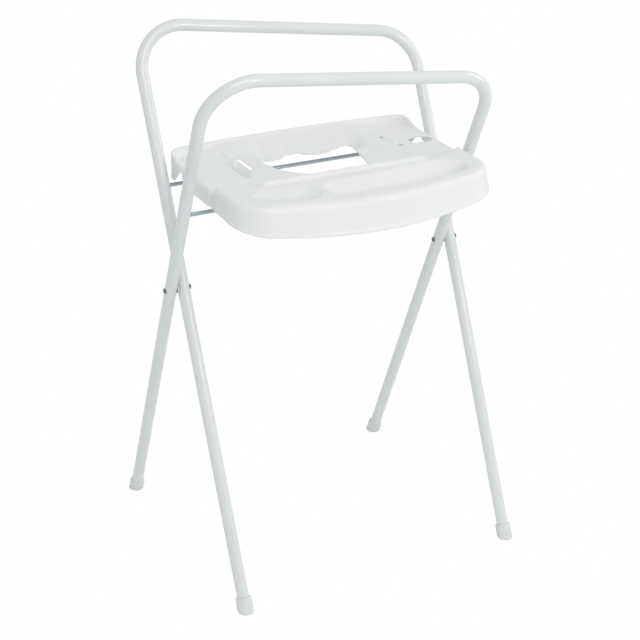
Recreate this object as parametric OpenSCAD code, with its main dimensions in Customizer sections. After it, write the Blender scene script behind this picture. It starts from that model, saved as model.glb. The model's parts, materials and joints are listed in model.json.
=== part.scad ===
// Folding stand for a baby bath: two crossed tube frames, two cross rods and a moulded tray.
// Row frame: X along the handles, +Y to the back, +Z up, origin on the floor under the middle.
// Every length is in millimetres.

/* [Tube frames] */
// Outside diameter of the bent tube
tube_d = 22; // [18:0.5:26]
// Wall thickness of the tube
tube_wall = 1.2; // [0.8:0.1:2]
// Distance between the axes of the two legs of one frame
leg_gauge = 555.6; // [520:0.2:640]
// Lean of each leg from the vertical, in degrees, with the stand open
lean = 24.6; // [20:0.1:30]
// Length of a leg's axis from the floor to the pivot
pivot_run = 597; // [480:1:720]
// Length of a leg's axis from the pivot to the middle of the handle bar
handle_run = 440.6; // [380:0.2:540]
// Slope of the handle bar along the frame, in degrees, left end high
bar_slope = 7.9; // [0:0.1:9]
// Radius of the tube's axis in the handle bends
bend_r = 82; // [60:1:100]

/* [Pivots] */
// Thickness of the spacer between two crossed legs
spacer_t = 2.7; // [1.5:0.1:6]
// Outside diameter of the spacer
spacer_d = 16; // [12:0.5:20]
// Diameter of the pivot bolt's shank
bolt_d = 6; // [5:0.5:8]
// Diameter of the bolt's head
head_d = 12; // [10:0.5:16]
// Height of the bolt's head and of its nut
head_h = 5; // [3.5:0.1:7]
// Width of the nut across its flats
nut_flats = 10; // [9:0.5:13]

/* [Cross rods] */
// Diameter of the cross rods
rod_d = 7; // [5:0.5:9]
// Length of a leg's axis from the pivot to its rod
rod_run = 185; // [165:1:200]

/* [Feet] */
// Outside diameter of a foot cap
cap_d = 27; // [25.5:0.1:29]
// Length of a foot cap along the leg
cap_len = 32; // [26:1:45]
// Length of leg axis between the floor and the tube's end
cap_floor = 10; // [8:1:14]

/* [Tray] */
// Half of the tray's width at the top
tray_half = 245; // [225:1:247]
// Distance from the pivots forward to the tray's front edge
tray_front = 264; // [240:1:285]
// Distance from the pivots back to the tray's rear edge
tray_rear = 118; // [110:1:130]
// Height of the deck that the bath stands on above the rods' axes
deck_rise = 42; // [38:0.5:50]
// Height of the front shelf above the deck
shelf_rise = 9; // [4:0.5:14]
// Height of the rear lip above the deck
lip_rise = 13; // [6:0.5:18]
// Wall thickness of the moulding
tray_wall = 3; // [2:0.1:4]
// Radius of the rounded top edge
edge_r = 9; // [6:0.5:12]
// Depth of the long trough in the front shelf
trough_depth = 24; // [12:1:28]
// Depth of the short pocket in the front shelf
pocket_depth = 11; // [6:1:16]

/* [Hidden] */
$fn = 64;
tube_r = tube_d / 2;
bore_r = tube_r - tube_wall;
rod_r = rod_d / 2;
bolt_r = bolt_d / 2;
half_gauge = leg_gauge / 2;

// Running clearance of a shaft in its hole, and the gap left between faces that only touch
run_gap = 0.08;
seat_gap = 0.1;
fixed_gap = 0.05;
rest_gap = 0.3;

// The two frames stand side by side, a tube and a spacer apart
frame_shift = (tube_d + spacer_t) / 2;
pivot_z = pivot_run * cos(lean);
foot_y = pivot_run * sin(lean);
rod_y = rod_run * sin(lean);
rod_z = pivot_z + rod_run * cos(lean);

// Sharp corners of a frame's axis, and the bends' turns
corner_step = half_gauge * tan(bar_slope);
left_corner = handle_run + corner_step;
right_corner = handle_run - corner_step;
left_turn = 90 + bar_slope;
right_turn = 90 - bar_slope;
left_bend_z = left_corner - bend_r * tan(left_turn / 2);
right_bend_z = right_corner - bend_r * tan(right_turn / 2);
bend_x = half_gauge - bend_r;
bar_from = [-bend_x + bend_r * cos(right_turn), left_bend_z + bend_r * sin(right_turn)];
bar_to = [bend_x + bend_r * cos(right_turn), right_bend_z + bend_r * sin(right_turn)];
bar_len = norm(bar_to - bar_from);
bend_step = 0.15;
bend_lap = 0.1;

// Tray heights in the row frame
deck_z = rod_z + deck_rise;
shelf_z = deck_z + shelf_rise;
side_low_z = deck_z - 29;
front_low_z = deck_z - 45;

// Tray outline: radii of the bowed front and rear edges and of the corners
front_bow_r = 620;
rear_bow_r = 1800;
front_corner_r = 75;
rear_corner_r = 40;
front_centre_y = front_bow_r - tray_front;
rear_centre_y = tray_rear - rear_bow_r;
front_corner_x = tray_half - front_corner_r;
rear_corner_x = tray_half - rear_corner_r;
front_corner_y = front_centre_y - sqrt(pow(front_bow_r - front_corner_r, 2) - pow(front_corner_x, 2));
rear_corner_y = rear_centre_y + sqrt(pow(rear_bow_r - rear_corner_r, 2) - pow(rear_corner_x, 2));
front_sweep = asin(front_corner_x / (front_bow_r - front_corner_r));
rear_sweep = asin(rear_corner_x / (rear_bow_r - rear_corner_r));

// How far the skirt spreads from its top to its bottom edge, at the front and at the sides
front_spread = 12;
side_spread = 3;
bead_h = 4;
bead_t = 1;

// The tray reaches further forward of the pivots than the back feet reach back
foot_reach = 15.8;
origin_y = (tray_front + front_spread + bead_t - foot_y - foot_reach) / 2;

// Places along the tray's side where the shelf's step and the lip's rise begin and end
step_front_y = -100;
step_rear_y = -92;
lip_start_y = 48;
lip_full_y = 72;
lip_top_w = 4;
lip_slope_w = 7;

// Deck features
window_front_y = -87;
window_rear_y = 51;
window_arc = [8, 5, 110];
window_right = [[62, -87], [76, 10], [90, 51]];
window_lobes = [[-65, 77, 45], [24, 92, 60]];
recess_x = [-100, 95];
recess_rear_y = 98;
recess_front_y = 20;
recess_drop = 20;
rib_y = -121;
rib_half = 140;
rib_end = 24;
rib_r = 8;
trough_cells = [[-34, -194, 43, 43], [60, -195, 44, 43], [170, -179, 40, 34]];
pocket_cells = [[-130, -187, 43, 36], [-164, -179, 38, 28]];
catch_x = [139, 165];
catch_y = [-54, 38];
catch_ramp = 52;
catch_depth = 20;
catch_wall = 2.5;
tongue_y = [-28, 38];
tongue_gap = 8;
tongue_slit = 2.5;
hose_x = [207, 221];
hose_y = -7;
hose_r = 16;
hose_collar = 5;
notch_y = -93;
notch_w = 10;
notch_depth = 3;

// Underside: beams that carry the rod clips and saddles
beam_x = 178;
clip_x = 112;
beam_t = 3;
beam_h = 22;
clip_w = 14;
clip_wall = 3;
clip_mouth = 100;
saddle_len = 24;
hook_front_y = 45;
hook_rear_y = 63;
hook_top_z = deck_z - 12;

// ---- placing -------------------------------------------------------------------------------

// From the middle of the pivots to the middle of the whole stand
module centred() translate([0, origin_y, 0]) children();

// A frame is drawn in its own plane: z runs up the leg from the pivot.
// dir is -1 for the frame whose handle is at the back, 1 for the one whose handle is in front.
module in_frame(dir)
    translate([-dir * frame_shift, origin_y, pivot_z]) rotate([dir * lean, 0, 0]) children();

module along_x() rotate([0, 90, 0]) children();

// ---- tube frames ---------------------------------------------------------------------------

// A bend from the origin, coming in along z and turning towards x, and the leg that follows it.
// Straight runs reach a little into each bend, which is a hair thinner, so the joints are clean.
module bend_and_leg(turn, run, r)
    translate([bend_r, 0, 0]) {
        mirror([1, 0, 0]) rotate([90, 0, 0]) rotate_extrude(angle = turn)
            translate([bend_r, 0]) circle(r - bend_step);
        rotate([0, turn, 0]) translate([-bend_r, 0, -bend_lap])
            cylinder(h = run + bend_lap, r = r);
    }

// The whole bent bar with radius r, worked outward from the handle; its legs end at height low
module bent_bar(r, low)
    translate([bar_from.x, 0, bar_from.y]) rotate([0, left_turn, 0]) {
        translate([0, 0, -bend_lap]) cylinder(h = bar_len + 2 * bend_lap, r = r);
        translate([0, 0, bar_len]) bend_and_leg(right_turn, right_bend_z - low, r);
        mirror([0, 0, 1]) bend_and_leg(left_turn, left_bend_z - low, r);
    }

module handle_frame(dir)
    in_frame(dir) difference() {
        bent_bar(tube_r, cap_floor - pivot_run);
        bent_bar(bore_r, cap_floor - pivot_run - 1);
        translate([-leg_gauge, 0, 0]) along_x() cylinder(h = 2 * leg_gauge, r = bolt_r + run_gap);
        translate([-half_gauge, 0, rod_run]) along_x()
            cylinder(h = leg_gauge, r = rod_r + fixed_gap);
    }

module rear_handle_frame() color([0.93, 0.93, 0.94]) handle_frame(-1);
module front_handle_frame() color([0.93, 0.93, 0.94]) handle_frame(1);

// ---- cross rods ----------------------------------------------------------------------------

// Each rod ends just inside the walls of its frame's tubes
module cross_rod(dir) {
    half = half_gauge - bore_r + 2;
    in_frame(dir) translate([-half, 0, rod_run]) along_x() cylinder(h = 2 * half, r = rod_r);
}

module rear_cross_rod() color([0.62, 0.68, 0.74]) cross_rod(-1);
module front_cross_rod() color([0.62, 0.68, 0.74]) cross_rod(1);

// ---- feet ----------------------------------------------------------------------------------

cap_r = cap_d / 2;
collar_h = 4;
collar_r = cap_r + 0.8;
flare_r = cap_r + 1.3;
pad_r = flare_r + 2.5;
pad_edge = 4;

// The sleeve round the tube's end, drawn along the leg from the point where it meets the floor
module foot_sleeve()
    rotate_extrude() polygon([
        [0, -pad_r], [flare_r, -pad_r], [flare_r, 3], [cap_r, 14],
        [cap_r, cap_len - collar_h - 1], [collar_r, cap_len - collar_h],
        [collar_r, cap_len], [tube_r + fixed_gap, cap_len],
        [tube_r + fixed_gap, cap_floor], [0, cap_floor]
    ]);

// What the floor leaves of it: flat below, with a rounded edge
module foot_floor()
    rotate_extrude() union() {
        square([pad_r - pad_edge, 2 * cap_len]);
        translate([0, pad_edge]) square([pad_r, 2 * cap_len - pad_edge]);
        translate([pad_r - pad_edge, pad_edge]) circle(pad_edge);
    }

module foot(dir, side)
    intersection() {
        in_frame(dir) translate([side * half_gauge, 0, -pivot_run]) foot_sleeve();
        translate([side * half_gauge - dir * frame_shift, dir * foot_y + origin_y, 0])
            foot_floor();
    }

module front_left_foot() color([0.95, 0.95, 0.96]) foot(-1, -1);
module front_right_foot() color([0.95, 0.95, 0.96]) foot(-1, 1);
module back_left_foot() color([0.95, 0.95, 0.96]) foot(1, -1);
module back_right_foot() color([0.95, 0.95, 0.96]) foot(1, 1);

// ---- pivots --------------------------------------------------------------------------------

// Where the two crossed legs of one side lie between bolt head and nut
stack_half = tube_d + spacer_t / 2 + seat_gap;

module at_pivot(side)
    translate([side * half_gauge, origin_y, pivot_z]) along_x() children();

module pivot_bolt(side)
    at_pivot(side) {
        translate([0, 0, -stack_half]) cylinder(h = 2 * stack_half + head_h, r = bolt_r);
        translate([0, 0, -stack_half - head_h]) difference() {
            mirror([0, 0, 1]) translate([0, 0, -head_h]) rotate_extrude() intersection() {
                square([head_d / 2, head_h]);
                translate([0, head_h - head_d * 0.62]) circle(head_d * 0.62);
            }
            translate([0, 0, -1]) cylinder(h = 3, r = bolt_r * 0.66, $fn = 6);
        }
    }

module pivot_nut(side)
    at_pivot(side) translate([0, 0, stack_half]) difference() {
        union() {
            cylinder(h = head_h - 1.2, r = nut_flats / 2 / cos(30), $fn = 6);
            cylinder(h = head_h, r = nut_flats / 2 - 0.4);
        }
        translate([0, 0, -1]) cylinder(h = head_h + 2, r = bolt_r + fixed_gap);
    }

module pivot_spacer(side)
    at_pivot(side) translate([0, 0, seat_gap - spacer_t / 2]) difference() {
        cylinder(h = spacer_t - 2 * seat_gap, r = spacer_d / 2);
        translate([0, 0, -1]) cylinder(h = spacer_t + 2, r = bolt_r + run_gap);
    }

module left_pivot_bolt() color([0.25, 0.27, 0.30]) pivot_bolt(-1);
module right_pivot_bolt() color([0.25, 0.27, 0.30]) pivot_bolt(1);
module left_pivot_nut() color([0.25, 0.27, 0.30]) pivot_nut(-1);
module right_pivot_nut() color([0.25, 0.27, 0.30]) pivot_nut(1);
module left_pivot_spacer() color([0.55, 0.60, 0.66]) pivot_spacer(-1);
module right_pivot_spacer() color([0.55, 0.60, 0.66]) pivot_spacer(1);

// ---- tray shell ----------------------------------------------------------------------------

function ease(t) = t <= 0 ? 0 : t >= 1 ? 1 : t * t * (3 - 2 * t);
function blend(a, b, x) = ease((x - a) / (b - a));

// Heights along the tray: the deck's surface, the rim that rises to the lip, the bottom edge
function surface_z(y) = deck_z + shelf_rise * (1 - blend(step_front_y, step_rear_y, y));
function rim_z(y) = surface_z(y) + lip_rise * blend(lip_start_y, lip_full_y, y);
function low_z(y) =
    side_low_z - (side_low_z - front_low_z) * pow(max(0, (-120 - y) / (tray_front - 120)), 2);

// Half of the rim from the middle of the front to the middle of the rear: [x, y, nx, ny]
side_stations = [
    front_corner_y, -130, step_front_y, -97.5, -96, -94.5, step_rear_y,
    -60, -10, 30, lip_start_y, 52, 56, 60
];
half_rim = concat(
    [for (i = [0:9]) let (a = front_sweep * i / 10)
        [front_bow_r * sin(a), front_centre_y - front_bow_r * cos(a), sin(a), -cos(a)]],
    [for (i = [0:9]) let (a = front_sweep - 90 + (90 - front_sweep) * i / 10)
        [front_corner_x + front_corner_r * cos(a), front_corner_y + front_corner_r * sin(a),
         cos(a), sin(a)]],
    [for (y = side_stations) [tray_half, y, 1, 0]],
    [for (i = [0:8]) let (a = (90 - rear_sweep) * i / 8)
        [rear_corner_x + rear_corner_r * cos(a), rear_corner_y + rear_corner_r * sin(a),
         cos(a), sin(a)]],
    [for (i = [1:8]) let (a = rear_sweep * (1 - i / 8))
        [rear_bow_r * sin(a), rear_centre_y + rear_bow_r * cos(a), sin(a), cos(a)]]
);
half_n = len(half_rim);
rim_n = 2 * half_n - 2;
rim = concat(
    half_rim,
    [for (i = [half_n - 2:-1:1]) let (p = half_rim[i]) [-p[0], p[1], -p[2], p[3]]]
);

// Outward spread of the skirt's bottom edge at a rim point
function spread(p) = side_spread + (front_spread - side_spread) * max(0, -p[3]);

// One ring of the shell: the rim moved outward by off, at height z
function ring_point(p, off, z) = [p[0] + p[2] * off, p[1] + p[3] * off, z];
function sheet_point(p, off, drop) =
    let (q = ring_point(p, off, 0)) [q[0], q[1], surface_z(q[1]) - drop];

// The skin on the outside (t = 0) or inside (t = wall), from the deck out and down
function skin(t) = let (r = edge_r - t, w = lip_top_w - t / 2) concat(
    [[for (p = rim) sheet_point(p, -edge_r - w - lip_slope_w, t)]],
    [[for (p = rim) ring_point(p, -edge_r - w, rim_z(p[1] - p[3] * edge_r) - t)]],
    [for (a = [90, 60, 30, 0]) [for (p = rim) let (z = rim_z(p[1] - p[3] * edge_r) - edge_r)
        ring_point(p, -edge_r + r * cos(a), z + r * sin(a))]],
    t == 0
        ? [[for (p = rim) ring_point(p, spread(p), low_z(p[1]) + bead_h + bead_t)],
           [for (p = rim) ring_point(p, spread(p) + bead_t, low_z(p[1]) + bead_h)],
           [for (p = rim) ring_point(p, spread(p) + bead_t, low_z(p[1]))]]
        : [[for (p = rim) ring_point(p, spread(p) - t, low_z(p[1]))]]
);

// The flat middle of a skin, as strips from side to side of the ring that starts at point o
function deck_strips(o) = [
    for (i = [0:half_n - 2]) let (l = (rim_n - i) % rim_n, m = rim_n - i - 1)
        i == 0 ? [o, o + m, o + 1] : i == half_n - 2 ? [o + i, o + l, o + i + 1]
        : [o + i, o + l, o + m, o + i + 1]
];
function turned(faces) = [for (f = faces) [for (i = [len(f) - 1:-1:0]) f[i]]];

module tray_skin() {
    inside = skin(tray_wall);
    rings = concat(skin(0), [for (i = [len(inside) - 1:-1:0]) inside[i]]);
    last = (len(rings) - 1) * rim_n;
    bands = [
        for (a = [0:rim_n:last - 1], i = [0:rim_n - 1]) let (b = a + rim_n, j = (i + 1) % rim_n)
            each [[a + i, b + j, b + i], [a + i, a + j, b + j]]
    ];
    polyhedron([for (ring = rings) each ring],
        concat(bands, deck_strips(0), turned(deck_strips(last))));
}

// ---- tray features -------------------------------------------------------------------------

module window_outline()
    difference() {
        intersection() {
            translate([window_arc[0], window_arc[1]]) circle(window_arc[2]);
            polygon(concat(
                [[-200, window_rear_y], [-200, window_front_y]], window_right
            ));
        }
        for (lobe = window_lobes) translate([lobe[0], lobe[1]]) circle(lobe[2]);
    }

// A hollow in the shelf: rounded cells [x, y, half length, half width] drawn together
module hollow(cells, depth, grow)
    hull() for (c = cells) translate([c[0], c[1], shelf_z])
        scale([c[2] + grow, c[3] + grow, depth + grow]) sphere(r = 1, $fn = 32);

module below_shelf() translate([-300, -300, shelf_z - 60]) cube([600, 600, 60]);

// Prism along X with its outline given as [y, z] points
module x_prism(x0, x1, outline)
    translate([x0, 0, 0]) rotate([90, 0, 90]) linear_extrude(x1 - x0) polygon(outline);

module recess_plate() {
    low = surface_z(0) - recess_drop;
    x_prism(recess_x[0] - tray_wall, recess_x[1] + tray_wall, [
        [recess_rear_y + tray_wall, deck_z - tray_wall / 2], [recess_rear_y, deck_z - tray_wall],
        [recess_front_y, low - tray_wall], [recess_front_y, deck_z - tray_wall / 2]
    ]);
}

module recess_cut() {
    low = surface_z(0) - recess_drop;
    x_prism(recess_x[0], recess_x[1], [
        [recess_rear_y, deck_z], [recess_rear_y, deck_z + 5],
        [recess_front_y - 1, deck_z + 5], [recess_front_y - 1, low]
    ]);
}

module shelf_rib()
    translate([0, rib_y, shelf_z - 3]) along_x() {
        translate([0, 0, -rib_half]) cylinder(h = 2 * rib_half, r = rib_r);
        translate([0, 0, rib_half]) cylinder(h = rib_end, r1 = rib_r, r2 = rib_r * 0.5);
        translate([0, 0, -rib_half - rib_end]) cylinder(h = rib_end, r1 = rib_r * 0.5, r2 = rib_r);
    }

// A box along Y on the left (side -1) or right (side 1), from near to far of the middle
module sided_box(side, x, y, z)
    translate([side > 0 ? x[0] : -x[1], y[0], z[0]])
        cube([x[1] - x[0], y[1] - y[0], z[1] - z[0]]);

// A deep catch for the bath's foot, with a ramp down into it from behind. grow is its wall.
module catch_pocket(side, grow, top) {
    floor_z = deck_z - catch_depth - grow;
    from = side > 0 ? catch_x[0] : -catch_x[1] - grow;
    near_wall = grow > 0 ? 0 : catch_wall;
    x_prism(from + (side > 0 ? near_wall : 0), from + catch_x[1] - catch_x[0] + grow
        - (side > 0 ? 0 : near_wall), [
            [catch_y[0] - grow, top], [catch_y[0] - grow, floor_z], [catch_y[1] + grow, floor_z],
            [catch_y[1] + catch_ramp, deck_z - grow], [catch_y[1] + catch_ramp, top]
        ]);
}

// The gap beside the catch's springy tongue, and the slits that free its two ends
module tongue_cuts(side) {
    edge = catch_x[0];
    sided_box(side, [edge - tongue_gap, edge], tongue_y, [deck_z - 30, deck_z + 20]);
    for (y = [tongue_y[0] - tongue_slit, tongue_y[1]])
        sided_box(side, [edge - tongue_gap, edge + catch_wall + 1], [y, y + tongue_slit],
            [deck_z - catch_depth + 1, deck_z + 20]);
}

module hose_hole(grow, low, high)
    translate([0, hose_y, low]) {
        for (x = hose_x) translate([x, 0, 0]) cylinder(h = high - low, r = hose_r + grow);
        translate([hose_x[0], -hose_r - grow, 0])
            cube([hose_x[1] - hose_x[0], 2 * (hose_r + grow), high - low]);
    }

module side_notch(side)
    translate([side * (tray_half + side_spread + bead_t + notch_w / 2 - notch_depth), notch_y, 0])
        cylinder(h = 2 * deck_z, r = notch_w / 2);

// ---- tray underside ------------------------------------------------------------------------

// A fore-and-aft beam under the deck
module beam(side)
    translate([side * beam_x - beam_t / 2, 0, 0]) x_prism(0, beam_t, [
        [-rod_y - 60, deck_z - 1], [-rod_y - 60, deck_z - tray_wall - 6],
        [-rod_y - 20, deck_z - beam_h], [rod_y + 16, deck_z - beam_h],
        [tray_rear - 14, deck_z - tray_wall - 6], [tray_rear - 14, deck_z - 1]
    ]);

// A clip that hangs the tray on the front rod: a block with a round seat, open below
module rod_clip(x) {
    boss_r = rod_r + run_gap + clip_wall;
    translate([x - clip_w / 2, -rod_y, rod_z]) along_x() cylinder(h = clip_w, r = boss_r);
    translate([x - clip_w / 2, -rod_y - boss_r, rod_z]) cube([clip_w, 2 * boss_r, deck_rise - 1]);
}

module clip_bore(x)
    translate([x - clip_w, -rod_y, rod_z]) {
        along_x() cylinder(h = 2 * clip_w, r = rod_r + run_gap);
        x_prism(0, 2 * clip_w, [
            [0, 0], [-20 * sin(clip_mouth / 2), -20 * cos(clip_mouth / 2)],
            [20 * sin(clip_mouth / 2), -20 * cos(clip_mouth / 2)]
        ]);
    }

// A saddle that rests on the rear rod and lets it leave forward and down
module rod_saddle(x)
    translate([x - clip_w / 2, 0, 0]) x_prism(0, clip_w, [
        [rod_y - saddle_len / 2, deck_z - 1], [rod_y - saddle_len / 2, rod_z + rod_r + 6],
        [rod_y - 2, rod_z + rod_r + 2], [rod_y + rod_r + 1, rod_z - 1],
        [rod_y + rod_r + 4, rod_z - 1], [rod_y + saddle_len / 2, rod_z + 8],
        [rod_y + saddle_len / 2, deck_z - 1]
    ]);

module saddle_seat(x)
    translate([x - clip_w, rod_y, rod_z]) {
        along_x() cylinder(h = 2 * clip_w, r = rod_r + rest_gap);
        x_prism(0, 2 * clip_w, [
            [rod_r + rest_gap, 0], [rod_r + rest_gap, -20], [-20, -20], [-rod_r - rest_gap, 0]
        ]);
    }

// The open slot behind each side wall's last stretch
module hook_slot()
    for (side = [-1, 1]) translate([side * tray_half - 20, 0, 0]) {
        x_prism(0, 40, [
            [hook_front_y, rod_z - 20], [hook_front_y, hook_top_z],
            [hook_rear_y - 4, hook_top_z], [hook_rear_y, hook_top_z - 8], [hook_rear_y, rod_z - 20]
        ]);
    }

module bath_tray() color([0.94, 0.95, 0.95])
    centred() difference() {
        union() {
            difference() {
                union() {
                    tray_skin();
                    intersection() {
                        union() {
                            hollow(trough_cells, trough_depth, tray_wall);
                            hollow(pocket_cells, pocket_depth, tray_wall);
                        }
                        below_shelf();
                    }
                    recess_plate();
                    shelf_rib();
                    for (side = [-1, 1]) beam(side);
                    hose_hole(tray_wall, deck_z - hose_collar, deck_z - 1);
                    for (side = [-1, 1]) catch_pocket(side, catch_wall, deck_z - 1);
                }
                hollow(trough_cells, trough_depth, 0);
                hollow(pocket_cells, pocket_depth, 0);
                recess_cut();
                translate([0, 0, deck_z - 40]) linear_extrude(60) window_outline();
                for (side = [-1, 1]) {
                    catch_pocket(side, 0, deck_z + 20);
                    tongue_cuts(side);
                    side_notch(side);
                }
                hook_slot();
            }
            for (side = [-1, 1]) {
                rod_clip(side * beam_x);
                rod_clip(side * clip_x);
                rod_saddle(side * beam_x);
            }
        }
        hose_hole(0, deck_z - 40, deck_z + 20);
        for (side = [-1, 1]) {
            clip_bore(side * beam_x);
            clip_bore(side * clip_x);
            saddle_seat(side * beam_x);
        }
    }

// ---- nodes ---------------------------------------------------------------------------------

rear_handle_frame();
front_handle_frame();
rear_cross_rod();
front_cross_rod();
front_left_foot();
front_right_foot();
back_left_foot();
back_right_foot();
left_pivot_bolt();
right_pivot_bolt();
left_pivot_nut();
right_pivot_nut();
left_pivot_spacer();
right_pivot_spacer();
bath_tray();
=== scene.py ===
"""Folding baby bath stand: a finely moulded tray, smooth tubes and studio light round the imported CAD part.

Lengths are in millimetres in the measured frame, whose origin is on the floor under the pivots,
with X along the handles, Y to the back and Z up. to_row() turns them into the row frame's metres.
The lights and the floor are placed in the row frame itself, in metres.
"""

import itertools
import json
import math

import bpy
import numpy as np
from mathutils import Matrix, Vector


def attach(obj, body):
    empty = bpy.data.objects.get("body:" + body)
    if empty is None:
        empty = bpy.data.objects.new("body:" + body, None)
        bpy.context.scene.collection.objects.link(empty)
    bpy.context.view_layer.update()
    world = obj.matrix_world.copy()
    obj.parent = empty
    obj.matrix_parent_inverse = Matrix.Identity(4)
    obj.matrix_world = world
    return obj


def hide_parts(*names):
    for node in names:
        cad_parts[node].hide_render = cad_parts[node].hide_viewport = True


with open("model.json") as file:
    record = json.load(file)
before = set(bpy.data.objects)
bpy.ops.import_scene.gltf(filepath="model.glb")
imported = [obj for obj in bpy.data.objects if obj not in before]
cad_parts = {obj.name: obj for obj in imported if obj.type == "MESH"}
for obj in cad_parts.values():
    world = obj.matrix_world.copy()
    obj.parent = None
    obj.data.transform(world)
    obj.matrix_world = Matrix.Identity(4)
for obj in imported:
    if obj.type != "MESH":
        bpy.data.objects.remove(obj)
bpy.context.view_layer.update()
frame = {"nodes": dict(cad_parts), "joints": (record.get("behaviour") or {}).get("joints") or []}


MM = 0.001
JOINTS = {j["name"]: j for j in frame["joints"]}
PIVOT_Y = JOINTS["fold"]["pos_m"][1] / MM
PIVOT_Z = JOINTS["fold"]["pos_m"][2] / MM
ROD_Y = PIVOT_Y - JOINTS["tray_tip"]["pos_m"][1] / MM  # how far each rod is from the pivots, in Y
ROD_Z = JOINTS["tray_tip"]["pos_m"][2] / MM


def to_row(points):
    """Measured millimetres, from the floor under the pivots, as row-frame metres."""
    return (np.asarray(points, float) + (0.0, PIVOT_Y, 0.0)) * MM


# ---- camera -------------------------------------------------------------------------------------

CAMERA_PLACE = (-1196.4, -2396.6, 1664.8)
CAMERA_TURN = -26.705  # degrees, looking along +Y and a little to +X
CAMERA_DOWN = 24.862
CAMERA_ROLL = -0.11
CAMERA_LENS, CAMERA_SENSOR = 87.476, 36.0  # for a square picture
CAMERA_NEAR, CAMERA_FAR = 0.05, 60.0  # metres


def make_camera():
    data = bpy.data.cameras.new("camera")
    data.lens, data.sensor_width = CAMERA_LENS, CAMERA_SENSOR
    data.clip_start, data.clip_end = CAMERA_NEAR, CAMERA_FAR
    camera = bpy.data.objects.new("camera", data)
    bpy.context.scene.collection.objects.link(camera)
    turn = Matrix.Rotation(math.radians(CAMERA_TURN), 4, "Z")
    down = Matrix.Rotation(math.radians(90 - CAMERA_DOWN), 4, "X")
    roll = Matrix.Rotation(math.radians(-CAMERA_ROLL), 4, "Z")
    camera.matrix_world = Matrix.Translation(Vector(to_row(CAMERA_PLACE))) @ turn @ down @ roll
    bpy.context.scene.camera = camera


make_camera()


# ---- materials ----------------------------------------------------------------------------------

DRIFT_SCALE = 9.0  # noise cells in a metre, for the slow drift of a colour
GRAIN_DEPTH = 0.0004  # metres
NOISE_LOW, NOISE_HIGH = 0.3, 0.7  # noise lies mostly between these


def add_node(tree, kind, **inputs):
    node = tree.nodes.new(kind)
    for name, value in inputs.items():
        node.inputs[name.replace("_", " ")].default_value = value
    return node


def noise(tree, scale, detail=3.0, stretch=(1, 1, 1)):
    """Noise in the object's own metres, drawn out by stretch."""
    place = tree.nodes.new("ShaderNodeTexCoord")
    mapping = add_node(tree, "ShaderNodeMapping", Scale=stretch)
    texture = add_node(tree, "ShaderNodeTexNoise", Scale=scale, Detail=detail)
    tree.links.new(place.outputs["Object"], mapping.inputs["Vector"])
    tree.links.new(mapping.outputs["Vector"], texture.inputs["Vector"])
    return texture.outputs["Fac"]


def value_ramp(tree, source, low, high):
    """Noise as a number from low to high."""
    node = tree.nodes.new("ShaderNodeMapRange")
    limits = {"From Min": NOISE_LOW, "From Max": NOISE_HIGH, "To Min": low, "To Max": high}
    for name, value in limits.items():
        node.inputs[name].default_value = value
    tree.links.new(source, node.inputs["Value"])
    return node.outputs["Result"]


def colour_ramp(tree, source, low, high):
    """Noise as a colour from low to high."""
    node = tree.nodes.new("ShaderNodeValToRGB")
    first, last = node.color_ramp.elements
    first.position, first.color = NOISE_LOW, (*low, 1.0)
    last.position, last.color = NOISE_HIGH, (*high, 1.0)
    tree.links.new(source, node.inputs["Fac"])
    return node.outputs["Color"]


def surface(name, dark, light, rough, grain, bump, stretch=(1, 1, 1), **fixed):
    """A shader whose colour and roughness drift a little over the piece, with a fine grain."""
    material = bpy.data.materials.new(name)
    material.use_nodes = True
    tree = material.node_tree
    shader = tree.nodes["Principled BSDF"]
    for key, value in fixed.items():
        shader.inputs[key.replace("_", " ")].default_value = value
    drift = noise(tree, DRIFT_SCALE, stretch=stretch)
    tree.links.new(colour_ramp(tree, drift, dark, light), shader.inputs["Base Color"])
    speckle = noise(tree, grain, detail=4.0, stretch=stretch)
    tree.links.new(value_ramp(tree, speckle, *rough), shader.inputs["Roughness"])
    relief = add_node(tree, "ShaderNodeBump", Strength=bump, Distance=GRAIN_DEPTH)
    tree.links.new(speckle, relief.inputs["Height"])
    tree.links.new(relief.outputs["Normal"], shader.inputs["Normal"])
    return material


POWDER = surface(
    "powder_white", (0.70, 0.72, 0.725), (0.74, 0.76, 0.765), (0.26, 0.36), 420, 0.05,
    Coat_Weight=1.0, Coat_Roughness=0.08,
)
PLASTIC = surface(
    "tray_plastic", (0.80, 0.805, 0.80), (0.83, 0.835, 0.83), (0.36, 0.46), 300, 0.04,
    Coat_Weight=0.1, Coat_Roughness=0.25,
)
# the catch's thin walls: translucent, and painted paler than the tray plastic to lift the shade inside the
# catch
THIN_PAINTED_LIGHT = surface(
    "tray_plastic_thin_painted_light", (0.96, 0.96, 0.955), (0.98, 0.98, 0.975), (0.4, 0.5), 300, 0.04,
    Subsurface_Weight=1.0, Subsurface_Radius=(1, 1, 1), Subsurface_Scale=0.006,
)
CAP = surface("cap_plastic", (0.69, 0.70, 0.70), (0.74, 0.75, 0.75), (0.38, 0.5), 500, 0.06)
ZINC = surface(
    "rod_zinc", (0.34, 0.41, 0.46), (0.44, 0.51, 0.56), (0.2, 0.3), 260, 0.08,
    stretch=(0.1, 1, 1), Metallic=0.9,
)
BOLT = surface(
    "bolt_steel", (0.16, 0.185, 0.18), (0.27, 0.30, 0.295), (0.25, 0.4), 500, 0.1,
    Metallic=0.75,
)
SPACER = surface(
    "spacer_steel", (0.70, 0.71, 0.73), (0.76, 0.77, 0.79), (0.3, 0.4), 500, 0.08,
    Metallic=0.2,
)


def paint(piece, material):
    piece.data.materials.clear()
    piece.data.materials.append(material)


# ---- light, floor and background ----------------------------------------------------------------

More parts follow.
